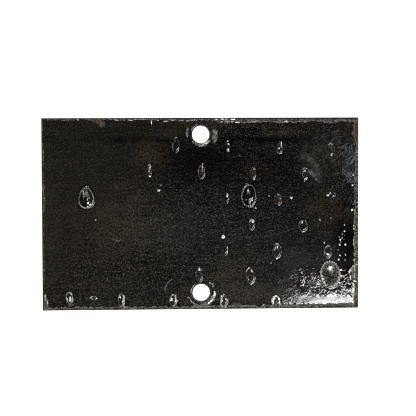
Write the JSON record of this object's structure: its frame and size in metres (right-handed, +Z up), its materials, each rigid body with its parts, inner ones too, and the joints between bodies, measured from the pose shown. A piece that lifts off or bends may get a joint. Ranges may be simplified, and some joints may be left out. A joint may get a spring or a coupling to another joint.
{
  "type": "steel plate",
  "caption": "Flat rectangular steel floor plate with low oval lugs on its coated upper face and a bolt hole near the middle of each long edge.",
  "frame": {"origin": "middle of the flat underside", "axes": "+X along the plate's length, +Y across it, +Z up out of the face with the lugs"},
  "size_m": [0.2, 0.121, 0.0072],
  "materials": {
    "coated_steel": "glossy black coating, scuffed and chipped to grey steel and rust along the edges, lugs and holes"
  },
  "bodies": {
    "root": {"plate": "coated_steel"}
  },
  "joints": []
}
